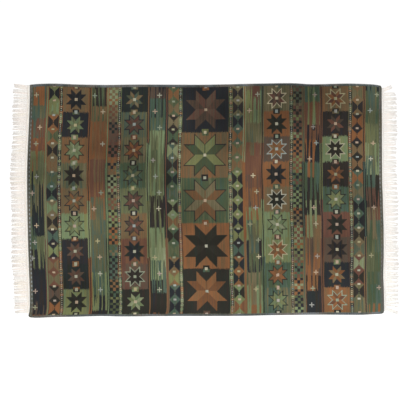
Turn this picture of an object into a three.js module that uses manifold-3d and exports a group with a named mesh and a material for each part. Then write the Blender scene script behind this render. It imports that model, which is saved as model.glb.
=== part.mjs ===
// A flat-woven wool rug, lying flat. Millimetres, +Z up, the floor at Z = 0.
// The warp runs along X, the long way of the rug, and comes out at both short ends as a fringe.
// The cloth was woven by hand, so its four edges wander a little and no two corners are alike.

import * as THREE from 'three';
import Module from 'manifold-3d';
import { mergeVertices } from 'three/addons/utils/BufferGeometryUtils.js';

const wasm = await Module();
wasm.setup();

// Woven body
const BODY_LENGTH = 2581;
const BODY_WIDTH = 1688;
const CLOTH_THICKNESS = 3;
const RIM_ROUNDING = 0.9;
const RIM_STEPS = 1;
const LONG_EDGE_STEPS = 68;
const END_STEPS = 40;
const CORNER_STEPS = 3;

// Heading: the narrow strip of warp knots just off each end of the cloth
const HEADING_GAP = 0.4;
const HEADING_THICKNESS = 2.6;

// Fringe strands
const STRANDS_PER_END = 100;
const STRAND_WIDTH = 13;
const STRAND_TIP_WIDTH = 8.5;
const STRAND_HEIGHT = 2.9;
const STRAND_TIP_HEIGHT = 1.6;
const STRAND_STEPS = 3;
const ROOT_DEPTH = 4;

// How the strands' tips wander: slow and quick waves from strand to strand, the way neighbours pair
// up, and chance. Next to the corners they turn away from the rug, and some are shorter.
const SLOW_LEAN = 3.2;
const SLOW_LEAN_STEP = 0.37;
const QUICK_LEAN = 1.9;
const QUICK_LEAN_STEP = 0.83;
const PAIRING = 0.7;
const CHANCE_LEAN = 0.9;
const SWAY = 1.4;
const SWAY_STEP = 0.51;
const CHANCE_SWAY = 0.5;
const REACH_WAVE = 4;
const REACH_STEP = 0.19;
const CHANCE_REACH = 5;
const CORNER_STRANDS = 4;

// How far each edge stands out (+) or in (-) from a straight line.
// "along" is measured from the middle of the rug to the right, "across" from the middle to the far side.
const FAR_EDGE = [
  { along: -1270, out: -3 },
  { along: -1240, out: 1 },
  { along: -1120, out: 4 },
  { along: -905, out: -3 },
  { along: -760, out: -6 },
  { along: -470, out: -3 },
  { along: -30, out: -5 },
  { along: 260, out: 1 },
  { along: 625, out: 7 },
  { along: 770, out: -1 },
  { along: 1030, out: 4 },
  { along: 1160, out: 1 },
  { along: 1235, out: -3 },
  { along: 1260, out: -8 },
];
const NEAR_EDGE = [
  { along: -1270, out: 12 },
  { along: -1235, out: 14 },
  { along: -1120, out: 9 },
  { along: -910, out: 5 },
  { along: -760, out: 1 },
  { along: -615, out: 4 },
  { along: -320, out: 1 },
  { along: 260, out: 0 },
  { along: 480, out: -5 },
  { along: 845, out: -9 },
  { along: 1135, out: -8 },
  { along: 1266, out: -14 },
];
const LEFT_EDGE = [
  { across: -838, out: -1 },
  { across: -818, out: -6 },
  { across: -795, out: -9 },
  { across: -660, out: -8 },
  { across: -515, out: -3 },
  { across: -300, out: 4 },
  { across: -80, out: 9 },
  { across: 140, out: 11 },
  { across: 290, out: 9 },
  { across: 510, out: 0 },
  { across: 680, out: -7 },
  { across: 822, out: -9 },
];
const RIGHT_EDGE = [
  { across: -818, out: 10 },
  { across: -660, out: 8 },
  { across: -550, out: 3 },
  { across: -440, out: 6 },
  { across: -220, out: 6 },
  { across: 0, out: 0 },
  { across: 145, out: -5 },
  { across: 360, out: -6 },
  { across: 580, out: -7 },
  { across: 818, out: -8 },
];

// Each end of the rug: the stretch across it that its fringe takes up, how deep the heading is, how far
// the strands reach past the cloth on average, and at its near and its far corner how far the tip of the
// last strand turns away and how much shorter that strand is.
const LEFT_END = {
  name: 'fringe_left', side: -1, edge: LEFT_EDGE, near: -826, far: 836, heading: 21, reach: 121,
  nearSplay: 8, farSplay: 14, nearShortening: 16, farShortening: 4, seed: 3,
};
const RIGHT_END = {
  name: 'fringe_right', side: 1, edge: RIGHT_EDGE, near: -808, far: 816, heading: 13, reach: 110,
  nearSplay: 28, farSplay: 34, nearShortening: 0, farShortening: 32, seed: 11,
};

// The same small unevenness each time, between -1 and 1
function unevenness(index, seed) {
  const scattered = Math.sin(index * 12.9898 + seed * 78.233) * 43758.5453;
  return (scattered - Math.floor(scattered)) * 2 - 1;
}

// A smooth line through the rows of an edge, at one place on it
function edgeOut(edge, key, place) {
  let row = 0;
  while (row < edge.length - 2 && edge[row + 1][key] < place) {
    row += 1;
  }
  const share = (place - edge[row][key]) / (edge[row + 1][key] - edge[row][key]);
  const t = THREE.MathUtils.clamp(share, 0, 1);
  const before = edge[Math.max(row - 1, 0)].out;
  const from = edge[row].out;
  const to = edge[row + 1].out;
  const after = edge[Math.min(row + 2, edge.length - 1)].out;
  const bend = 2 * before - 5 * from + 4 * to - after + t * (3 * (from - to) + after - before);
  return from + 0.5 * t * (to - before + t * bend);
}

// The long edges run from left to right
function longEdgePoints(edge, side) {
  const points = [];
  const start = edge[0].along;
  const end = edge.at(-1).along;
  for (let step = 0; step <= LONG_EDGE_STEPS; step += 1) {
    const along = THREE.MathUtils.lerp(start, end, step / LONG_EDGE_STEPS);
    points.push(new THREE.Vector2(along, side * (BODY_WIDTH / 2 + edgeOut(edge, 'along', along))));
  }
  return points;
}

function clothEndAt(end, across) {
  return BODY_LENGTH / 2 + edgeOut(end.edge, 'across', across);
}

// The stretch of an end that its fringe takes up, from the near side to the far side
function endPoints(end, standOff) {
  const points = [];
  for (let step = 0; step <= END_STEPS; step += 1) {
    const across = THREE.MathUtils.lerp(end.near, end.far, step / END_STEPS);
    points.push(new THREE.Vector2(end.side * (clothEndAt(end, across) + standOff), across));
  }
  return points;
}

// A rounded corner between the last point of one edge and the first of the next
function corner(from, turn, to) {
  return new THREE.QuadraticBezierCurve(from, turn, to).getPoints(CORNER_STEPS).slice(1, -1);
}

// The cloth's outline, counter-clockwise from its near left corner, where a small knob sticks out
function bodyOutline() {
  const near = longEdgePoints(NEAR_EDGE, -1);
  const right = endPoints(RIGHT_END, 0);
  const far = longEdgePoints(FAR_EDGE, 1).reverse();
  const left = endPoints(LEFT_END, 0).reverse();
  const knobAcross = LEFT_EDGE[0].across;
  const knob = new THREE.Vector2(-clothEndAt(LEFT_END, knobAcross), knobAcross);
  const points = [
    ...near,
    ...corner(near.at(-1), new THREE.Vector2(right[0].x, near.at(-1).y), right[0]),
    ...right,
    ...corner(right.at(-1), new THREE.Vector2(right.at(-1).x, far[0].y), far[0]),
    ...far,
    ...corner(far.at(-1), new THREE.Vector2(left[0].x, far.at(-1).y), left[0]),
    ...left,
    knob,
    ...corner(knob, new THREE.Vector2(knob.x, near[0].y), near[0]),
  ];
  return new THREE.Shape(points);
}

function wovenBody() {
  return new THREE.ExtrudeGeometry(bodyOutline(), {
    depth: CLOTH_THICKNESS - 2 * RIM_ROUNDING,
    bevelEnabled: true,
    bevelThickness: RIM_ROUNDING,
    bevelSize: RIM_ROUNDING,
    bevelOffset: -RIM_ROUNDING,
    bevelSegments: RIM_STEPS,
  }).translate(0, 0, RIM_ROUNDING);
}

function headingStrip(end) {
  const inner = endPoints(end, HEADING_GAP);
  const outer = endPoints(end, HEADING_GAP + end.heading);
  const outline = new THREE.Shape([...inner, ...outer.reverse()]);
  return new THREE.ExtrudeGeometry(outline, { depth: HEADING_THICKNESS, bevelEnabled: false });
}

// One strand: a four-sided lock that lies level on the floor and narrows to its tip
function strand(root, tip, sway) {
  const middle = root.clone().lerp(tip, 0.5);
  middle.y += sway;
  const path = new THREE.QuadraticBezierCurve(root, middle, tip);
  const corners = [];
  for (let step = 0; step <= STRAND_STEPS; step += 1) {
    const share = step / STRAND_STEPS;
    const centre = path.getPoint(share);
    const ahead = path.getTangent(share);
    const half = THREE.MathUtils.lerp(STRAND_WIDTH, STRAND_TIP_WIDTH, share) / 2;
    const height = THREE.MathUtils.lerp(STRAND_HEIGHT, STRAND_TIP_HEIGHT, share);
    const right = new THREE.Vector2(ahead.y, -ahead.x).multiplyScalar(half);
    corners.push(centre.x + right.x, centre.y + right.y, 0);
    corners.push(centre.x - right.x, centre.y - right.y, 0);
    corners.push(centre.x - right.x, centre.y - right.y, height);
    corners.push(centre.x + right.x, centre.y + right.y, height);
  }
  const faces = [0, 2, 1, 0, 3, 2];
  for (let step = 0; step < STRAND_STEPS; step += 1) {
    for (let side = 0; side < 4; side += 1) {
      const a = step * 4 + side;
      const b = step * 4 + (side + 1) % 4;
      faces.push(a, b, b + 4, a, b + 4, a + 4);
    }
  }
  const last = STRAND_STEPS * 4;
  faces.push(last, last + 1, last + 2, last, last + 2, last + 3);
  const geometry = new THREE.BufferGeometry();
  geometry.setAttribute('position', new THREE.Float32BufferAttribute(corners, 3));
  geometry.setIndex(faces);
  return geometry;
}

function strandOf(end, index) {
  const share = (index + 0.5) / STRANDS_PER_END;
  const across = THREE.MathUtils.lerp(end.near, end.far, share);
  const nearCorner = Math.max(0, 1 - index / CORNER_STRANDS) ** 2;
  const farCorner = Math.max(0, 1 - (STRANDS_PER_END - 1 - index) / CORNER_STRANDS) ** 2;
  const lean = SLOW_LEAN * Math.sin(index * SLOW_LEAN_STEP + end.seed)
    + QUICK_LEAN * Math.sin(index * QUICK_LEAN_STEP + end.seed)
    + PAIRING * (index % 2 === 0 ? 1 : -1)
    + CHANCE_LEAN * unevenness(index, end.seed)
    + end.farSplay * farCorner - end.nearSplay * nearCorner;
  const reach = end.reach + REACH_WAVE * Math.sin(index * REACH_STEP + end.seed)
    + CHANCE_REACH * unevenness(index, end.seed + 1)
    - end.nearShortening * nearCorner - end.farShortening * farCorner;
  const sway = SWAY * Math.sin(index * SWAY_STEP + end.seed)
    + CHANCE_SWAY * unevenness(index, end.seed + 2);
  const clothEnd = clothEndAt(end, across);
  const start = clothEnd + HEADING_GAP + end.heading - ROOT_DEPTH;
  const root = new THREE.Vector2(end.side * start, across);
  const tip = new THREE.Vector2(end.side * (clothEnd + reach), across + lean);
  return strand(root, tip, sway);
}

function toManifold(geometry) {
  const bare = geometry.clone();
  bare.deleteAttribute('normal');
  bare.deleteAttribute('uv');
  const merged = mergeVertices(bare);
  const mesh = new wasm.Mesh({
    numProp: 3,
    vertProperties: new Float32Array(merged.attributes.position.array),
    triVerts: new Uint32Array(merged.index.array),
  });
  return new wasm.Manifold(mesh);
}

function toGeometry(solid) {
  const mesh = solid.getMesh();
  const geometry = new THREE.BufferGeometry();
  geometry.setAttribute('position', new THREE.BufferAttribute(mesh.vertProperties, 3));
  geometry.setIndex(new THREE.BufferAttribute(mesh.triVerts, 1));
  return geometry;
}

function warpFringe(end) {
  let solid = toManifold(headingStrip(end));
  for (let index = 0; index < STRANDS_PER_END; index += 1) {
    solid = solid.add(toManifold(strandOf(end, index)));
  }
  return toGeometry(solid);
}

const wool = new THREE.MeshStandardMaterial({ color: 0x575142, roughness: 0.95, metalness: 0 });
const warpYarn = new THREE.MeshStandardMaterial({ color: 0xf1ece0, roughness: 0.9, metalness: 0 });

function pieceOf(name, geometry, material) {
  const mesh = new THREE.Mesh(geometry, material);
  mesh.name = name;
  return mesh;
}

const group = new THREE.Group();
group.add(pieceOf('woven_body', wovenBody(), wool));
for (const end of [LEFT_END, RIGHT_END]) {
  group.add(pieceOf(end.name, warpFringe(end), warpYarn));
}

// The origin is on the floor, under the middle of the rug's box
const middle = new THREE.Box3().setFromObject(group).getCenter(new THREE.Vector3());
group.position.set(-middle.x, -middle.y, 0);

export default group;
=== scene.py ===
# A flat-woven wool rug with fringed ends, lying on the floor. Metres, +Z up.
import math

import bpy
import numpy as np
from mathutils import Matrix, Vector


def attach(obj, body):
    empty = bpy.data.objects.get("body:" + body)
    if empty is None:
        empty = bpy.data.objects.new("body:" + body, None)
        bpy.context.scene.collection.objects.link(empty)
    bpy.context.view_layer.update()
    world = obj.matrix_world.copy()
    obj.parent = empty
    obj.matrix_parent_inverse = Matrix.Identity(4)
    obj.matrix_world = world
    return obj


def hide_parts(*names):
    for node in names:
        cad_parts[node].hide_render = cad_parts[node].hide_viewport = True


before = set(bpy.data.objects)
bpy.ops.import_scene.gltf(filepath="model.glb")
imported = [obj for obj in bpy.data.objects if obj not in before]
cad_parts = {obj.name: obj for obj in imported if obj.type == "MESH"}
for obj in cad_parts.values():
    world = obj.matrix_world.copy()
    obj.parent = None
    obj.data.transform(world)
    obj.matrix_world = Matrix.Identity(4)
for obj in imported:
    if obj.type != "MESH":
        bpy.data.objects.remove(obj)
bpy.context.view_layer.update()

# The woven body. One cloth from the loom: thick wool weft beaten down until it hides the strong warp,
# which runs the long way of the rug. Its edges wander as the weaver's tension did, and its long sides
# are bound round a thicker outer warp, which ends in a small knob at the near left corner.

CLOTH_THICKNESS = 0.003
RIM_RADIUS = 0.0012
RIM_STEPS = 6
MESH_PITCH = 0.0135
EDGE_STATIONS = (0.0, 0.002, 0.004, 0.0065, 0.0095, 0.013, 0.018, 0.025)
COCKLE = 0.0008
COCKLE_LENGTHS = (0.12, 0.5)
EDGE_RIPPLE = 0.0016
EDGE_RIPPLE_LENGTHS = (0.18, 0.42)
EDGE_RIPPLE_DEPTH = 0.07
WAVES_TOGETHER = 9
MAP_MARGIN = 0.004
SELVEDGE_SWELL = 0.0012
SELVEDGE_SWELL_WIDTH = 0.010
KNOB_PLACE = 0.012
KNOB_SIZE = 0.009
KNOB_REACH = 0.0055
KNOB_SWELL = 0.0014


def outline_of(node):
    """The node's widest outline as places on the floor, counter-clockwise from its near left corner."""
    points = np.array([vertex.co for vertex in node.data.vertices])
    level = points[np.abs(points[:, 2] - points[:, 2].max() / 2) < CLOTH_THICKNESS / 3, :2]
    level = np.unique(level.round(5), axis=0)
    level = level[np.argsort(np.arctan2(level[:, 1], level[:, 0]))]
    return np.roll(level, -corner_of(level, -1, -1), axis=0)


def corner_of(line, right, far):
    half = np.abs(line).max(axis=0)
    return int(np.argmax(right * line[:, 0] / half[0] + far * line[:, 1] / half[1]))


def outward_of(loop):
    """The way out of a counter-clockwise loop, at each of its places."""
    ahead = np.roll(loop, -1, axis=0) - np.roll(loop, 1, axis=0)
    outward = np.stack([ahead[:, 1], -ahead[:, 0]], axis=1)
    return outward / np.linalg.norm(outward, axis=1)[:, None]


def spread_along(line, shares):
    """Places at these shares of a line's length."""
    run = np.concatenate([[0], np.cumsum(np.linalg.norm(np.diff(line, axis=0), axis=1))])
    return np.stack([np.interp(shares, run / run[-1], line[:, axis]) for axis in (0, 1)], axis=1)


def stations(length):
    """Shares of a length, close together near both ends."""
    edge = np.array(EDGE_STATIONS)
    steps = round((length - 2 * edge[-1]) / MESH_PITCH)
    middle = np.linspace(edge[-1], length - edge[-1], steps + 1)
    return np.concatenate([edge[:-1], middle, length - edge[-2::-1]]) / length


def waves(places, shortest, longest, seed):
    """Gentle unevenness between about -1 and 1: a few waves in chance directions."""
    chances = np.random.default_rng(seed)
    total = np.zeros(len(places))
    for _ in range(WAVES_TOGETHER):
        heading = chances.uniform(0, math.pi)
        length = chances.uniform(shortest, longest)
        phase = chances.uniform(0, 2 * math.pi)
        run = places[:, 0] * math.cos(heading) + places[:, 1] * math.sin(heading)
        total += np.cos(2 * math.pi * run / length + phase)
    return total / (WAVES_TOGETHER / 2)


outline = outline_of(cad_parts["woven_body"])
BODY_LENGTH, BODY_WIDTH = np.ptp(outline, axis=0).tolist()


def lift_at(places):
    """How far the cloth's underside stands off the floor."""
    inside = np.minimum(BODY_LENGTH / 2 - np.abs(places[:, 0]), BODY_WIDTH / 2 - np.abs(places[:, 1]))
    near_edge = np.exp(-np.maximum(inside, 0) / EDGE_RIPPLE_DEPTH)
    cockle = COCKLE * (0.5 + 0.5 * waves(places, *COCKLE_LENGTHS, seed=4))
    ripple = EDGE_RIPPLE * near_edge * (0.5 + 0.5 * waves(places, *EDGE_RIPPLE_LENGTHS, seed=8))
    return np.maximum(cockle + ripple, 0)


def piece_of(name, points, faces):
    made = bpy.data.meshes.new(name)
    made.from_pydata(points.tolist(), [], faces)
    made.polygons.foreach_set("use_smooth", [True] * len(made.polygons))
    piece = bpy.data.objects.new(name, made)
    bpy.context.scene.collection.objects.link(piece)
    return piece


def woven_cloth():
    inner = outline - RIM_RADIUS * outward_of(outline)
    corners = [0, corner_of(inner, 1, -1), corner_of(inner, 1, 1), corner_of(inner, -1, 1), len(inner)]
    closed = np.concatenate([inner, inner[:1]])
    near, right, far, left = [closed[a:b + 1] for a, b in zip(corners, corners[1:])]
    s = stations(BODY_LENGTH)
    t = stations(BODY_WIDTH)
    near = spread_along(near, s)[:, None]
    far = spread_along(far[::-1], s)[:, None]
    left = spread_along(left[::-1], t)[None]
    right = spread_along(right, t)[None]
    to_right = s[:, None, None]
    to_far = t[None, :, None]
    from_sides = (1 - to_far) * near + to_far * far
    from_ends = (1 - to_right) * left + to_right * right
    from_corners = ((1 - to_right) * ((1 - to_far) * near[0] + to_far * far[0])
                    + to_right * ((1 - to_far) * near[-1] + to_far * far[-1]))
    places = (from_sides + from_ends - from_corners).reshape(-1, 2)
    loom = np.stack(np.meshgrid((s - 0.5) * BODY_LENGTH, (t - 0.5) * BODY_WIDTH, indexing="ij"), axis=2)
    loom = loom.reshape(-1, 2)
    lift = lift_at(places)
    bound = np.clip(1 - (BODY_WIDTH / 2 - np.abs(loom[:, 1])) / SELVEDGE_SWELL_WIDTH, 0, 1)
    knob = np.exp(-(np.linalg.norm(places - places[0] - (0, KNOB_PLACE), axis=1) / KNOB_SIZE) ** 2)
    places[:, 0] -= KNOB_REACH * knob
    thickness = CLOTH_THICKNESS + SELVEDGE_SWELL * np.sin(bound * math.pi / 2) + KNOB_SWELL * knob

    # The face and the underside, then rings round the rim from one to the other
    ids = np.arange(len(places)).reshape(len(s), len(t))
    loop = np.concatenate([ids[:, 0], ids[-1, 1:], ids[-2::-1, -1], ids[0, -2:0:-1]])
    outward = outward_of(places[loop])
    half = thickness[loop] / 2
    points = [np.column_stack([places, lift + thickness]), np.column_stack([places, lift])]
    looms = [loom, loom]
    flat_places = [loom, loom]
    rings = [loop]
    for step in range(1, RIM_STEPS):
        turn = math.pi * step / RIM_STEPS
        ring = places[loop] + outward * RIM_RADIUS * math.sin(turn)
        rings.append(sum(map(len, points)) + np.arange(len(loop)))
        points.append(np.column_stack([ring, lift[loop] + half * (1 + math.cos(turn))]))
        looms.append(loom[loop])
        flat_places.append(loom[loop] + outward * half[:, None] * turn)
    rings.append(loop + len(places))
    face = np.stack([ids[:-1, :-1], ids[1:, :-1], ids[1:, 1:], ids[:-1, 1:]], axis=2).reshape(-1, 4)
    rim = [np.stack([upper, lower, np.roll(lower, -1), np.roll(upper, -1)], axis=1)
           for upper, lower in zip(rings, rings[1:])]
    faces = np.concatenate([face, *rim, face[:, ::-1] + len(places)])
    piece = piece_of("rug_body", np.concatenate(points), faces.tolist())

    looms = np.concatenate(looms)
    held = piece.data.attributes.new("loom", "FLOAT_VECTOR", "POINT")
    held.data.foreach_set("vector", np.column_stack([looms, np.zeros(len(looms))]).ravel())
    flat_corners = np.concatenate(flat_places)[faces.ravel()]
    is_upper = np.arange(faces.size) < faces.size - face.size
    unfold(piece, flat_corners, is_upper)
    return piece


def unfold(piece, flat, is_upper):
    """The face and rim take the upper two thirds of the flat map, and the underside the rest, smaller."""
    upper_scale = (1 - 2 * MAP_MARGIN) / np.ptp(flat[:, 0])
    lower_scale = upper_scale / 2
    tall = np.ptp(flat[:, 1])
    upper = flat * upper_scale + (0.5, 1 - MAP_MARGIN - tall * upper_scale / 2)
    lower = flat * lower_scale + (0.5, MAP_MARGIN + tall * lower_scale / 2)
    layer = piece.data.uv_layers.new(name="OFBake")
    layer.uv.foreach_set("vector", np.where(is_upper[:, None], upper, lower).ravel())


rug_body = woven_cloth()


# Readings for its material: numbers and colours taken at each place of the cloth
class Reading:
    """A number or colour that a material reads at each place. A sum on it becomes a node."""

    def __init__(self, socket):
        self.socket = socket

    def __add__(self, other):
        return reckon("ADD", self, other)

    def __sub__(self, other):
        return reckon("SUBTRACT", self, other)

    def __rsub__(self, other):
        return reckon("SUBTRACT", other, self)

    def __mul__(self, other):
        return reckon("MULTIPLY", self, other)

    def __truediv__(self, other):
        return reckon("DIVIDE", self, other)

    def __lt__(self, other):
        return reckon("LESS_THAN", self, other)

    def __gt__(self, other):
        return reckon("GREATER_THAN", self, other)

    def __abs__(self):
        return reckon("ABSOLUTE", self)

    __radd__ = __add__
    __rmul__ = __mul__


def put(value, socket):
    if isinstance(value, Reading):
        socket.id_data.links.new(value.socket, socket)
    else:
        socket.default_value = value


def added(kind, *values, **settings):
    """A new node in the tree of the first reading among its values."""
    tree = next(value.socket.id_data for value in values if isinstance(value, Reading))
    node = tree.nodes.new(kind)
    for name, setting in settings.items():
        setattr(node, name, setting)
    for socket, value in zip(node.inputs, values):
        put(value, socket)
    return node


def reckon(operation, *terms):
    return Reading(added("ShaderNodeMath", *terms, operation=operation).outputs[0])


def larger(one, other):
    return reckon("MAXIMUM", one, other)


def smaller(one, other):
    return reckon("MINIMUM", one, other)


def just_one(one, other):
    """1 where one mask or the other holds, but not both."""
    return abs(one - other)


def there_and_back(value, length=1.0):
    """Runs from 0 to the length and back, over and over."""
    return reckon("PINGPONG", value, length)


def place_of(x, y, z=0.0):
    return Reading(added("ShaderNodeCombineXYZ", x, y, z).outputs[0])


def cloudy(x, y, z=0.0, detail=1.0):
    """Smooth noise round 0, mostly between -0.5 and 0.5, one swell to each unit of x, y and z."""
    noise = added("ShaderNodeTexNoise", place_of(x, y, z))
    noise.inputs["Scale"].default_value = 1.0
    noise.inputs["Detail"].default_value = detail
    return (Reading(noise.outputs["Fac"]) - 0.5) * 1.6


def by_chance(x, y, z=0.0):
    """A number from 0 to 1 by chance, the same wherever x, y and z are the same."""
    return Reading(added("ShaderNodeTexWhiteNoise", place_of(x, y, z)).outputs["Value"])


def linear(code):
    """A hex code's colour as light."""
    shares = [int(code[i:i + 2], 16) / 255 for i in (1, 3, 5)]
    return [c / 12.92 if c <= 0.04045 else ((c + 0.055) / 1.055) ** 2.4 for c in shares] + [1.0]


def shade_card(share, codes):
    """The colour at this share of a card of dyed yarns, each blending into the next."""
    card = added("ShaderNodeValToRGB", share)
    stops = card.color_ramp.elements
    while len(stops) < len(codes):
        stops.new(1.0)
    for index, code in enumerate(codes):
        stops[index].position = index / (len(codes) - 1)
        stops[index].color = linear(code)
    return Reading(card.outputs["Color"])


def laid_over(under, over, mask):
    """One colour, and another over it where the mask holds."""
    mix = added("ShaderNodeMix", mask, data_type="RGBA")
    put(under, mix.inputs[6])
    put(over, mix.inputs[7])
    return Reading(mix.outputs[2])


def brightened(colour, factor):
    scaled = added("ShaderNodeVectorMath", colour, operation="SCALE")
    put(factor, scaled.inputs["Scale"])
    return Reading(scaled.outputs[0])


def new_material(name):
    material = bpy.data.materials.new(name)
    material.use_nodes = True
    return material


def dressed(material, colour, relief, depth, sheen):
    """Gives a material its colour and its relief, and the dull soft sheen of yarn."""
    shader = material.node_tree.nodes["Principled BSDF"]
    bump = material.node_tree.nodes.new("ShaderNodeBump")
    put(relief * depth, bump.inputs["Height"])
    bump.inputs["Strength"].default_value = 1.0
    bump.inputs["Distance"].default_value = 1.0
    put(colour, shader.inputs["Base Color"])
    put(Reading(bump.outputs["Normal"]), shader.inputs["Normal"])
    shader.inputs["Roughness"].default_value = 0.95
    shader.inputs["Specular IOR Level"].default_value = 0.15
    shader.inputs["Sheen Weight"].default_value = sheen
    shader.inputs["Sheen Roughness"].default_value = 0.5


wool = new_material("weft_faced_wool")
loom_place = wool.node_tree.nodes.new("ShaderNodeAttribute")
loom_place.attribute_name = "loom"
parted = added("ShaderNodeSeparateXYZ", Reading(loom_place.outputs["Vector"]))
loom_x = Reading(parted.outputs["X"])
loom_y = Reading(parted.outputs["Y"])

# Each warp makes a rib, and each pick of weft a bead on it, half a step on from its neighbours'. A bead
# has one colour, so everything else is taken at the beads' middles
WARP_PITCH = 0.0035
PICK_PITCH = 0.00233
RIB_DEPTH = 0.0006
warps = loom_y / WARP_PITCH
warp = reckon("FLOOR", warps)
half_step = there_and_back(warp) * 0.5
picks = loom_x / PICK_PITCH + half_step
pick = reckon("FLOOR", picks)
rib = abs(warps - warp - 0.5) * 2
bead = abs(picks - pick - 0.5) * 2
weave = 1.0 - rib * rib * 0.6 - bead * bead * 0.4
woven_x = (pick + 0.5 - half_step) * PICK_PITCH
woven_y = (warp + 0.5) * WARP_PITCH

# Its pattern is woven in bands across the rug, alike from the middle to both ends: eight-pointed stars,
# hourglasses, small checks, thin stripes and bands of mixed yarn, stepped in blocks of two warps
BLOCK = 0.007
SELVEDGE_WIDTH = 0.0165
END_BAND_WIDTH = 0.0205
FIELD_WIDTH = BODY_WIDTH - 2 * SELVEDGE_WIDTH
BEAT_WANDER = 0.009
SETT_WANDER = 0.006
DASH_TILES = 118
MIXED, STRIPES, STARS, HOURGLASSES, CHECKS = range(5)
BANDS = (
    {"motif": STARS, "width": 0.343, "tiles": 5, "patches": 5},
    {"motif": STRIPES, "width": 0.028, "tiles": DASH_TILES, "patches": 5},
    {"motif": HOURGLASSES, "width": 0.077, "tiles": 16, "patches": 8},
    {"motif": STRIPES, "width": 0.021, "tiles": 1, "patches": 3},
    {"motif": MIXED, "width": 0.112, "tiles": 14, "patches": 7},
    {"motif": STRIPES, "width": 0.021, "tiles": 1, "patches": 4},
    {"motif": STARS, "width": 0.189, "tiles": 9, "patches": 9},
    {"motif": STRIPES, "width": 0.028, "tiles": DASH_TILES, "patches": 6},
    {"motif": CHECKS, "width": 0.063, "tiles": 39, "patches": 13},
    {"motif": STRIPES, "width": 0.021, "tiles": 1, "patches": 3},
    {"motif": MIXED, "width": 0.112, "tiles": 14, "patches": 6},
    {"motif": STRIPES, "width": 0.021, "tiles": 1, "patches": 4},
    {"motif": STARS, "width": 0.189, "tiles": 9, "patches": 9},
    {"motif": STRIPES, "width": 0.028, "tiles": DASH_TILES, "patches": 5},
    {"motif": HOURGLASSES, "width": 0.077, "tiles": 16, "patches": 8},
    {"motif": STRIPES, "width": 0.021, "tiles": 1, "patches": 3},
    {"motif": MIXED, "width": 0.120, "tiles": 14, "patches": 7},
)

along = woven_x + cloudy(loom_x * 2, loom_y * 3.5) * BEAT_WANDER
across = woven_y + cloudy(loom_x * 3, loom_y * 3, 7.0) * SETT_WANDER
away = abs(along)


def band_figures():
    """Facts of the band that each place lies in: middle, half width, tile and patch pitch, motif."""
    start = -BANDS[0]["width"] / 2
    before = None
    for band in BANDS:
        half = band["width"] / 2
        facts = (start + half, half, FIELD_WIDTH / band["tiles"], FIELD_WIDTH / band["patches"],
                 band["motif"])
        if before is None:
            readings = list(facts)
        else:
            beyond = away > start
            readings = [reckon("MULTIPLY_ADD", beyond, here - there, reading)
                        for here, there, reading in zip(facts, before, readings)]
        before = facts
        start += band["width"]
    return readings


band_middle, band_half, tile_pitch, patch_pitch, motif = band_figures()


def woven_as(number):
    return reckon("COMPARE", motif, float(number), 0.2)


def in_blocks(value):
    return reckon("SNAP", value + BLOCK / 2, BLOCK)


is_mixed = woven_as(MIXED)
is_stripes = woven_as(STRIPES)
is_stars = woven_as(STARS)
is_hourglasses = woven_as(HOURGLASSES)
is_checks = woven_as(CHECKS)

# Where each place lies in its tile, across and along, and how far it is from the next tile
from_near_side = across + FIELD_WIDTH / 2
tile = reckon("FLOOR", from_near_side / tile_pitch)
p = in_blocks(from_near_side - (tile + 0.5) * tile_pitch)
q = in_blocks(away - band_middle)
p_far = abs(p)
q_far = abs(q)
wide = larger(p_far, q_far)
slim = smaller(p_far, q_far)
between = larger(tile_pitch / 2 - p_far, q_far)


def star(size):
    """An eight-pointed star of eight slanting leaves, this far from its middle to its points."""
    return (slim < size * 0.5 + BLOCK / 4) * (wide - slim < size * 0.5 + BLOCK / 4)


# Stars, with a thin outline, a square heart and a small square between neighbours
star_size = band_half - 2.5 * BLOCK
outer_star = star(star_size)
star_outline = outer_star - star(star_size - 2 * BLOCK)
pinwheel = just_one(p_far > q_far, p * q > 0.0)
small_square = is_stars * (between < 3.2 * BLOCK)
star_accent = larger(wide < 1.6 * BLOCK, between < 1.6 * BLOCK)

# Hourglasses with a knot between them, checks three rows deep, and stripes, some with dashes in them
glass = p_far < q_far * 1.15 + BLOCK
glass_knot = is_hourglasses * (between < 1.2 * BLOCK)
check = just_one(p > 0.0, q_far < 1.6 * BLOCK)
stripe = q_far < band_half - 0.8 * BLOCK
dash = (q_far < BLOCK / 2) * (p_far < tile_pitch / 4) * (tile_pitch < 3 * BLOCK)

# Chances that are one for a whole tile, or for what lies across the line between two tiles
neighbour = reckon("ROUND", from_near_side / tile_pitch) - 0.5
owner = tile + larger(small_square, glass_knot) * (neighbour - tile)
band_seed = reckon("SIGN", along) * band_middle * 3 + 5
tile_chances = [by_chance(band_seed, owner, float(seed)) for seed in range(6)]

# Small crosses strewn over the mixed bands
strewn_far = abs(in_blocks(away - band_middle + (tile_chances[5] - 0.5) * 0.07))
cross = larger((p_far < BLOCK / 2) * (strewn_far < 2.5 * BLOCK),
               (strewn_far < BLOCK / 2) * (p_far < 2.5 * BLOCK)) * (tile_chances[2] > 0.35)

figure_mask = larger(larger(is_stars * larger(outer_star, small_square), is_hourglasses * glass),
                     larger(is_checks * check, is_stripes * stripe))
accent_mask = larger(larger(is_stars * star_accent, glass_knot),
                     larger(is_mixed * cross, is_stripes * dash))
second_tone = is_stars * pinwheel
outline_mask = is_stars * star_outline

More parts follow.
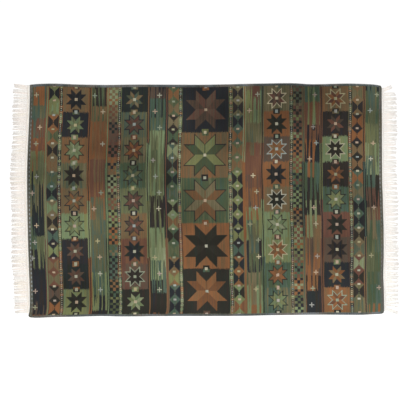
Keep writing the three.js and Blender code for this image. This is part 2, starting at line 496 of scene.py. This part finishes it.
# The weaver winds yarns of neighbouring shades together, so each colour is full of fine streaks along
# the weft. The ground changes colour patch by patch across each band, where picks of the two colours
# reach past each other by chance
DEEP_YARNS = ("#212326", "#292926", "#302a26", "#2a281f", "#252b26", "#25272c", "#312a24", "#262923")
BODY_YARNS = ("#7d8367", "#6e7653", "#68795a", "#6e7047", "#5d6147", "#4b5038", "#42523d", "#45564d",
              "#5a573c", "#696049", "#67563d", "#715439", "#785134", "#7c5233", "#6b4b34", "#644636",
              "#5f4036", "#58473a", "#4a4239")
PALE_YARNS = ("#b3a888", "#a3a18f", "#8f9078", "#a9937a", "#9c8a7c", "#8a9490", "#a59a73", "#7a8574")
SLATE_YARNS = ("#4b5052", "#5e6364", "#494e4b", "#645f57", "#686d70", "#464e49", "#6d665f")
ENDING_YARNS = ("#605e55", "#6c695e", "#585a51", "#676250", "#5b5e58", "#6a645c")
DASH_YARN = linear("#8a9192")
STREAKS_PER_METRE = (95, 3.6)
FINE_STREAKS_PER_METRE = (430, 11)
JOINS_PER_METRE = (330, 6)
DYE_LOTS_PER_METRE = (13, 0.6)
JOIN_REACH = 0.03
OTHER_PATCH_STEP = 0.6


def along_the_weft(per_metre, z):
    """Noise this many swells to the metre along the warp and along the weft, one value to a bead."""
    return cloudy(woven_x * per_metre[0], woven_y * per_metre[1], z)


streak = along_the_weft(STREAKS_PER_METRE, 3.0)
fine_streak = along_the_weft(FINE_STREAKS_PER_METRE, 5.0)
join = along_the_weft(JOINS_PER_METRE, 21.0) * JOIN_REACH
dye_lot = along_the_weft(DYE_LOTS_PER_METRE, 9.0)

# Mixed bands hold two runs of patches, pick by pick from one or the other
band_chance = by_chance(band_seed, 0.5)
other_run = is_mixed * (cloudy(woven_x * 60, woven_y * 2, 90.0) > 0.02) * OTHER_PATCH_STEP
patch_run = (from_near_side + join) / patch_pitch + is_mixed * band_chance + other_run
patch = reckon("FLOOR", patch_run)
patch_y = (patch + 0.5 - other_run) * patch_pitch
patch_chance = by_chance(band_seed, patch, 40.0 + other_run)
drift = cloudy(band_seed * 0.7, patch_y * 1.9, 11.0)
depth_drift = cloudy(band_seed * 0.55, patch_y * 1.5, 50.0)
figure_drift = cloudy(band_seed * 0.8, (owner * tile_pitch) * 2.4, 37.0)

on_deep = depth_drift + (patch_chance - 0.5) * 0.4 > 0.15
ground_share = 0.2 + drift * 2.6 + patch_chance * 0.5 + streak * 0.16 + dye_lot * 0.12
figure_share = 0.1 + figure_drift * 2.2 + tile_chances[1] * 0.7 + streak * 0.14 + second_tone * 0.12
deep_share = patch_chance * 1.4 + streak * 0.4
ground_shade = shade_card(there_and_back(ground_share), BODY_YARNS)
figure_shade = shade_card(there_and_back(figure_share), BODY_YARNS)
deep_shade = shade_card(there_and_back(deep_share), DEEP_YARNS)
pale_shade = shade_card(tile_chances[4], PALE_YARNS)
is_deep_figure = (1.0 - on_deep) * (tile_chances[2] > 0.55)

ground = laid_over(ground_shade, deep_shade, on_deep)
figure = laid_over(figure_shade, deep_shade, is_deep_figure)
outlining = laid_over(deep_shade, pale_shade, tile_chances[5] > 0.7)
field = laid_over(ground, brightened(figure, 1.0 - second_tone * 0.2), figure_mask)
field = laid_over(field, outlining, outline_mask)
field = laid_over(field, pale_shade, accent_mask)

# The plain selvedges, and at each end a dark band with a row of light dashes
DASH_FROM_END = 0.0148
DASH_HALF_LENGTH = 0.0038
DASH_PITCH = 0.0155
DASH_HALF_WIDTH = 0.0072
FAINTEST_DASH = 0.06
CLEAREST_DASH = 0.85
EDGING_SHADE = 0.8

from_side = BODY_WIDTH / 2 - abs(loom_y)
from_end = BODY_LENGTH / 2 - abs(loom_x)
edge_share = 0.5 + cloudy(woven_x * 1.7, woven_y * 1.7, 60.0) * 2.4 + streak * 0.3
slate = shade_card(there_and_back(edge_share), SLATE_YARNS)
ending = shade_card(there_and_back(edge_share), ENDING_YARNS)
in_dash_row = abs(from_end - DASH_FROM_END) < DASH_HALF_LENGTH
end_dash = in_dash_row * (there_and_back(loom_y, DASH_PITCH) < DASH_HALF_WIDTH)
dash_strength = 0.45 - reckon("SIGN", loom_x) * 0.25 + cloudy(woven_x, woven_y * 3, 80.0) * 0.8
corner_fade = larger(abs(woven_y) - 0.5, 0.0) * 1.6
faded_dash = end_dash * smaller(larger(dash_strength - corner_fade, FAINTEST_DASH), CLEAREST_DASH)
edging = laid_over(brightened(ending, EDGING_SHADE), DASH_YARN, faded_dash)
colour = laid_over(field, slate, from_side < SELVEDGE_WIDTH + streak * 0.003)
colour = laid_over(colour, edging, from_end < END_BAND_WIDTH + streak * 0.002)

# Over it all, no two beads quite alike, patchy fade, darker to the far side, painted groove shade, a dark
# knob
FADING_PER_METRE = 2.2
FADING = 0.9
SIDE_SLOPE = 0.16
GROOVE_SHADE = 0.7
RIB_LIGHT = 0.2
KNOB_SHADE = 0.4
YARN_SHEEN = 0.06

heather = by_chance(warp, pick) - 0.5
patchy = cloudy(loom_x * FADING_PER_METRE, loom_y * FADING_PER_METRE, 70.0, 3.0)
# Besides the patchy fade, the cloth is made lighter towards the near side and darker towards the far side
fading_and_slope = patchy * FADING - loom_y * SIDE_SLOPE
variation = 1.0 + streak * 0.3 + fine_streak * 0.28 + dye_lot * 0.2 + heather * 0.12 + fading_and_slope
# Painted shade: the grooves between ribs and beads are darkened in the colour, their crowns kept lighter
colour = brightened(colour, variation * (GROOVE_SHADE + weave * RIB_LIGHT))
up_to_knob = abs(loom_y + (BODY_WIDTH / 2 - KNOB_PLACE))
from_knob = larger(loom_x + BODY_LENGTH / 2, up_to_knob)
colour = brightened(colour, 1.0 - (from_knob < KNOB_SIZE) * KNOB_SHADE)
dressed(wool, colour, weave, RIB_DEPTH, sheen=YARN_SHEEN)

rug_body.data.materials.append(wool)
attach(rug_body, "root")
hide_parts("woven_body")

# The headings. Off each end of the cloth the cream warps are locked in by cords of the same yarn,
# twined over and under them and beaten up against the last pick: five cords on the left, three on the
# right.

HEADING_GAP = 0.0004
CORD_STEP = 0.0022
CORD_FLATNESS = 0.72
CORD_NARROWING = 0.72
CORD_CROWDING = 1.15
CORD_WANDER = 0.0004
CORD_SIDES = 8
CELL_MARGIN = 0.08
YARN_TWIST = 0.011
# Each end's cord share stands for a place from root to tip, and so sets the painted shade on its
# heading's cords
ENDS = (
    {"name": "left", "side": -1, "near": -0.8225, "far": 0.8395, "heading": 0.021, "cords": 5,
     "cord_shade_share": 0.16, "reach": 0.121, "near_splay": 0.008, "far_splay": 0.014,
     "near_shortening": 0.016, "far_shortening": 0.004, "yarn_radius": 0.00155, "pairing": 0.0016,
     "curl": 0.0006, "stray": 0.0024, "shades": (0.0, 1.0), "seed": 3},
    {"name": "right", "side": 1, "near": -0.8045, "far": 0.8195, "heading": 0.016, "cords": 3,
     "cord_shade_share": 0.0, "reach": 0.110, "near_splay": 0.028, "far_splay": 0.034,
     "near_shortening": 0.0, "far_shortening": 0.032, "yarn_radius": 0.00143, "pairing": 0.0024,
     "curl": 0.0022, "stray": 0.0036, "shades": (0.25, 0.6), "seed": 11},
)


def cloth_end(end, across):
    """How far the cloth reaches at one end of the rug, at these places across it."""
    within = (outline[:, 1] > end["near"] - 0.002) & (outline[:, 1] < end["far"] + 0.002)
    edge = outline[within & (outline[:, 0] * end["side"] > 1)]
    edge = edge[np.argsort(edge[:, 1])]
    return np.interp(across, edge[:, 1], np.abs(edge[:, 0]))


def yarn_tubes(name, lines, wide, thin, flatness, sides, columns, together, shades, cord_shade_share=None):
    """Yarns along these lines in one mesh: twined cords that turn in the mesh itself, or loose ends."""
    count, steps = lines.shape[:2]
    twined = cord_shade_share is not None
    ahead = np.gradient(lines, axis=1)
    ahead /= np.linalg.norm(ahead, axis=2)[..., None]
    beside = np.cross(ahead, (0.0, 0.0, 1.0))
    beside /= np.linalg.norm(beside, axis=2)[..., None]
    above = np.cross(beside, ahead)
    length = np.linalg.norm(np.diff(lines, axis=1), axis=2)
    run = np.concatenate([np.zeros((count, 1)), np.cumsum(length, axis=1)], axis=1)
    turn = (2 * math.pi * run / YARN_TWIST * twined)[..., None]
    around = 2 * math.pi * np.arange(sides) / sides
    long_way = wide[..., None] * np.cos(around)
    short_way = thin[..., None] * np.sin(around)
    sideways = long_way * np.cos(turn) - short_way * np.sin(turn)
    upwards = (long_way * np.sin(turn) + short_way * np.cos(turn)) * flatness
    points = (lines[:, :, None] + beside[:, :, None] * sideways[..., None]
              + above[:, :, None] * upwards[..., None])

    ids = np.arange(count * steps * sides).reshape(count, steps, sides)
    after = np.roll(ids, -1, axis=2)
    walls = np.stack([ids[:, :-1], ids[:, 1:], after[:, 1:], after[:, :-1]], axis=3).reshape(-1, 4)
    caps = np.concatenate([ids[:, 0], ids[:, -1, ::-1]])
    piece = piece_of(name, points.reshape(-1, 3), walls.tolist() + caps.tolist())

    # Two maps: where on the yarn a place lies, and a flat one with a cell for each yarn
    step_corners = np.array([0, 1, 1, 0])
    side_corners = np.array([0, 0, 1, 1])
    yarn_index, step_index, side_index = np.indices((count, steps - 1, sides))[..., None]
    yarn_index = np.broadcast_to(yarn_index, (count, steps - 1, sides, 4))
    step_index = step_index + step_corners
    round_share = (side_index + side_corners) / sides
    corner_run = run[yarn_index, step_index]
    ply = round_share + corner_run / YARN_TWIST * (not twined)
    cap_round = np.broadcast_to(np.arange(sides) / sides, (2 * count, sides))
    cap_yarn = np.broadcast_to(np.tile(np.arange(count), 2)[:, None], (2 * count, sides))
    cap_end = np.repeat([0.04, 0.96], count)[:, None]
    cap_u = cap_end + 0.03 * np.cos(2 * math.pi * cap_round)
    cap_v = 0.5 + 0.3 * np.sin(2 * math.pi * cap_round)
    cell = 1 - 2 * CELL_MARGIN
    wall_u = CELL_MARGIN + cell * step_index / (steps - 1) + 0 * ply
    wall_v = CELL_MARGIN + cell * round_share + 0 * ply
    cell_u = np.concatenate([wall_u.ravel(), cap_u.ravel()])
    cell_v = np.concatenate([wall_v.ravel(), cap_v.ravel()])
    yarn = np.concatenate([yarn_index.ravel(), cap_yarn.ravel()])
    rows = math.ceil(count / columns)
    flat_u = (yarn % columns + cell_u) / columns
    flat_v = (yarn // columns + cell_v) / rows
    flat = np.stack([flat_u, flat_v], axis=1)
    piece.data.uv_layers.new(name="OFBake").uv.foreach_set("vector", flat.ravel())
    ply_u = np.concatenate([corner_run.ravel(), (0 * cap_round).ravel()])
    ply_v = np.concatenate([ply.ravel(), cap_round.ravel()])
    along_ply = np.stack([ply_u, ply_v], axis=1)
    piece.data.uv_layers.new(name="ply").uv.foreach_set("vector", along_ply.ravel())

    # A chance for each yarn and lock, how far a loose one is from root to tip, and a cord's painted-shade
    # share
    chances = np.random.default_rng(count)
    facts = np.zeros((count, steps, sides, 3))
    facts[..., 0] = chances.random(count)[:, None, None]
    facts[..., 1] = cord_shade_share if twined else np.linspace(0, 1, steps)[None, :, None]
    facts[..., 2] = np.repeat(chances.uniform(*shades, count), together)[:count, None, None]
    held = piece.data.attributes.new("yarn", "FLOAT_VECTOR", "POINT")
    held.data.foreach_set("vector", facts.ravel())
    return piece


def heading_of(end):
    steps = round((end["far"] - end["near"]) / CORD_STEP)
    across = np.linspace(end["near"], end["far"], steps)
    pitch = end["heading"] / end["cords"]
    lines = []
    for cord in range(end["cords"]):
        out = cloth_end(end, across) + HEADING_GAP + (cord + 0.5) * pitch
        out += CORD_WANDER * np.sin(across * 31 + cord * 2.1)
        height = np.full(steps, pitch / 2 * CORD_FLATNESS)
        lines.append(np.column_stack([end["side"] * out, across, height]))
    lines = np.array(lines)
    wide = np.full(lines.shape[:2], pitch / 2 * CORD_CROWDING)
    return yarn_tubes("heading_" + end["name"], lines, wide, wide * CORD_NARROWING, CORD_FLATNESS,
                      CORD_SIDES, 1, 1, end["shades"], end["cord_shade_share"])


CREAM_YARNS = ("#f7ebe0", "#f8f2e6", "#fcf7f2", "#f6f4ee", "#fbf1ea", "#f7f2ea")
PLY_DEPTH = 0.0005

cream = new_material("cream_warp_yarn")
yarn_fact = cream.node_tree.nodes.new("ShaderNodeAttribute")
yarn_fact.attribute_name = "yarn"
ply_map = cream.node_tree.nodes.new("ShaderNodeUVMap")
ply_map.uv_map = "ply"
fact_parts = added("ShaderNodeSeparateXYZ", Reading(yarn_fact.outputs["Vector"]))
ply_parts = added("ShaderNodeSeparateXYZ", Reading(ply_map.outputs["UV"]))
yarn_chance = Reading(fact_parts.outputs["X"])
to_tip = Reading(fact_parts.outputs["Y"])
lock_chance = Reading(fact_parts.outputs["Z"])
yarn_run = Reading(ply_parts.outputs["X"])
ply_round = Reading(ply_parts.outputs["Y"])
plies = abs(reckon("SINE", ply_round * (2 * math.pi)))
fibre = cloudy(yarn_run * 900, ply_round * 9, yarn_chance * 50, 2.0)
slub = cloudy(yarn_run * 60, yarn_chance * 30)
cream_shade = shade_card(there_and_back(lock_chance + yarn_chance * 0.3 + slub * 0.3), CREAM_YARNS)
# Darker towards the cut tips, and painted shade near the knots where the yarns crowd, which the cords
# also get
cut_end = larger(to_tip - 0.5, 0.0)
by_the_knots = larger(0.3 - to_tip, 0.0)
knot_shade_and_tip_darkening = by_the_knots * 0.45 + cut_end * 0.4
# Painted shade: the ply crowns lighter and the twists between them darker, beside the fibres' and slubs'
# own tone
cream_tone = 0.99 + plies * 0.05 + fibre * 0.05 + slub * 0.05 - knot_shade_and_tip_darkening
dressed(cream, brightened(cream_shade, cream_tone), plies + fibre * 0.3, PLY_DEPTH, sheen=YARN_SHEEN)

headings = [heading_of(end) for end in ENDS]
for end, heading in zip(ENDS, headings):
    heading.data.materials.append(cream)
    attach(heading, "root")

# The fringe. Past the heading the warp ends hang free: they gather in locks of five, lean together in
# pairs, and were cut by eye, so that no two are of one length. The corner locks have turned outwards.

LOCKS_PER_END = 100
YARNS_PER_LOCK = 5
YARN_STEPS = 22
YARN_SIDES = 6
TIP_THINNING = 0.3
ROOT_DEPTH = 0.004
SLOW_LEAN = 0.0032
SLOW_LEAN_STEP = 0.37
QUICK_LEAN = 0.0019
QUICK_LEAN_STEP = 0.83
CHANCE_LEAN = 0.0014
PAIR_CHANCE = 0.7
SWAY = 0.0014
SWAY_STEP = 0.51
CHANCE_SWAY = 0.0005
REACH_WAVE = 0.004
REACH_STEP = 0.19
CHANCE_REACH = 0.005
CORNER_LOCKS = 1.6
NECK_SHARE = 0.10
NECK_LENGTH = 0.10
NECK_DRAW = 0.28
NECK_STACKING = 0.9
CUT = (-0.05, 0.02)
LOCK_CURL_TURN = 5
YARN_CURL_TURNS = (9, 18)
YARN_CURL = 0.6
FRAY_SWELL = 0.16
FRAY_FROM = 0.8
FRAY_LENGTH = 0.12
TIP_TAPER = 0.5
TIP_LENGTH = 0.06
YARN_SPACING = 2.25
OFF_FLOOR = 0.0002


def unevenness(index, seed):
    """The same small unevenness each time, between -1 and 1."""
    scattered = np.sin(index * 12.9898 + seed * 78.233) * 43758.5453
    return (scattered - np.floor(scattered)) * 2 - 1


def lock_line(end, shares):
    """The middle line of each lock, at these shares of the way to its tip."""
    index = np.arange(LOCKS_PER_END)
    seed = end["seed"]
    across = end["near"] + (end["far"] - end["near"]) * (index + 0.5) / LOCKS_PER_END
    near_corner = 1 / (1 + (index / CORNER_LOCKS) ** 4)
    far_corner = near_corner[::-1]
    pairing = end["pairing"] * (1 + PAIR_CHANCE * unevenness(index // 2, seed + 3))
    lean = (SLOW_LEAN * np.sin(index * SLOW_LEAN_STEP + seed)
            + QUICK_LEAN * np.sin(index * QUICK_LEAN_STEP + seed)
            + pairing * np.where(index % 2 == 0, 1, -1) + CHANCE_LEAN * unevenness(index, seed)
            + end["far_splay"] * far_corner - end["near_splay"] * near_corner)
    reach = (end["reach"] + REACH_WAVE * np.sin(index * REACH_STEP + seed)
             + CHANCE_REACH * unevenness(index, seed + 1)
             - end["near_shortening"] * near_corner - end["far_shortening"] * far_corner)
    sway = SWAY * np.sin(index * SWAY_STEP + seed) + CHANCE_SWAY * unevenness(index, seed + 2)
    edge = cloth_end(end, across)
    root = np.stack([edge + HEADING_GAP + end["heading"] - ROOT_DEPTH, across], axis=1)
    tip = np.stack([edge + reach, across + lean], axis=1)
    middle = (root + tip) / 2 + np.stack([0 * sway, sway], axis=1)
    s = shares[..., None]
    path = (1 - s) ** 2 * root[:, None, None] + 2 * s * (1 - s) * middle[:, None, None]
    return path + s ** 2 * tip[:, None, None]


def fringe_of(end):
    chances = np.random.default_rng(end["seed"])
    count = LOCKS_PER_END * YARNS_PER_LOCK
    yarn_size = (LOCKS_PER_END, YARNS_PER_LOCK, 1)
    s = np.linspace(0, 1, YARN_STEPS)
    cut = 1 + chances.uniform(*CUT, yarn_size)
    shares = s * cut
    path = lock_line(end, shares)
    neck = np.exp(-((shares - NECK_SHARE) / NECK_LENGTH) ** 2)
    radius = end["yarn_radius"] * (1 - TIP_THINNING * shares)
    place = np.arange(YARNS_PER_LOCK)[None, :, None] - (YARNS_PER_LOCK - 1) / 2
    spacing = YARN_SPACING * radius * (1 - NECK_DRAW * neck)
    stray = chances.uniform(-end["stray"], end["stray"], yarn_size) * shares ** 2
    lock_curl = np.sin(s * LOCK_CURL_TURN + chances.uniform(0, 6.3, (LOCKS_PER_END, 1, 1)))
    yarn_turn = chances.uniform(*YARN_CURL_TURNS, yarn_size)
    yarn_curl = np.sin(s * yarn_turn + chances.uniform(0, 6.3, yarn_size))
    wave = end["curl"] * shares * (lock_curl + YARN_CURL * yarn_curl)
    stacked = NECK_STACKING * radius * neck * (np.abs(place) < 1)
    lines = np.stack([end["side"] * path[..., 0], path[..., 1] + place * spacing + stray + wave,
                      radius + stacked + OFF_FLOOR], axis=3).reshape(count, YARN_STEPS, 3)
    frayed = np.clip((s - FRAY_FROM) / FRAY_LENGTH, 0, 1)
    tapered = np.clip((s - (1 - TIP_LENGTH)) / TIP_LENGTH, 0, 1)
    worn = 1 + FRAY_SWELL * frayed - TIP_TAPER * tapered
    round_size = (radius * worn).reshape(count, YARN_STEPS)
    return yarn_tubes("fringe_" + end["name"] + "_yarns", lines, round_size, round_size, 1.0,
                      YARN_SIDES, LOCKS_PER_END // 5, YARNS_PER_LOCK, end["shades"])


fringes = [fringe_of(end) for end in ENDS]
for end, fringe in zip(ENDS, fringes):
    fringe.data.materials.append(cream)
    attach(fringe, "root")
    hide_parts("fringe_" + end["name"])

# The floor that the rug lies on, plain and nearly white, and soft studio light from all round with a
# little more from the near right. The camera looks straight down on the whole rug.

FLOOR_DROP = 0.0004
FLOOR_SHADE = 0.97
FLOOR_ROUGHNESS = 0.9
CAMERA_LENS = 85
SENSOR_WIDTH = 36
FLOOR_SIZE = 30.0
CAMERA_HEIGHT = 7.055
CAMERA_FROM_MIDDLE = (-0.0046, -0.032)
KEY_PLACE = (1.2, -4.8, 5.8)
KEY_SIZE = 3.0
KEY_POWER = 320
STUDIO_STRENGTH = 0.85

bpy.ops.mesh.primitive_plane_add(size=FLOOR_SIZE, location=(0, 0, -FLOOR_DROP))
floor = bpy.context.object
floor.name = "floor"
paint = new_material("pale_floor")
floor_shader = paint.node_tree.nodes["Principled BSDF"]
floor_shader.inputs["Base Color"].default_value = (FLOOR_SHADE, FLOOR_SHADE, FLOOR_SHADE, 1)
floor_shader.inputs["Roughness"].default_value = FLOOR_ROUGHNESS
floor.data.materials.append(paint)

scene = bpy.context.scene
scene.world = bpy.data.worlds.new("studio")
scene.world.use_nodes = True
scene.world.node_tree.nodes["Background"].inputs["Color"].default_value = (1, 1, 1, 1)
scene.world.node_tree.nodes["Background"].inputs["Strength"].default_value = STUDIO_STRENGTH
scene.view_settings.view_transform = "Standard"

key = bpy.data.lights.new("key_lamp", "AREA")
key.size = KEY_SIZE
key.energy = KEY_POWER
key_lamp = bpy.data.objects.new("key_lamp", key)
key_lamp.location = KEY_PLACE
key_lamp.rotation_mode = "QUATERNION"
key_lamp.rotation_quaternion = Vector(KEY_PLACE).to_track_quat("Z", "Y")
scene.collection.objects.link(key_lamp)

cloth_middle = (outline.min(axis=0) + outline.max(axis=0)) / 2
camera = bpy.data.objects.new("camera", bpy.data.cameras.new("camera"))
camera.data.lens = CAMERA_LENS
camera.data.sensor_width = SENSOR_WIDTH
camera.location = (*(cloth_middle + CAMERA_FROM_MIDDLE), CAMERA_HEIGHT + CLOTH_THICKNESS)
scene.collection.objects.link(camera)
scene.camera = camera
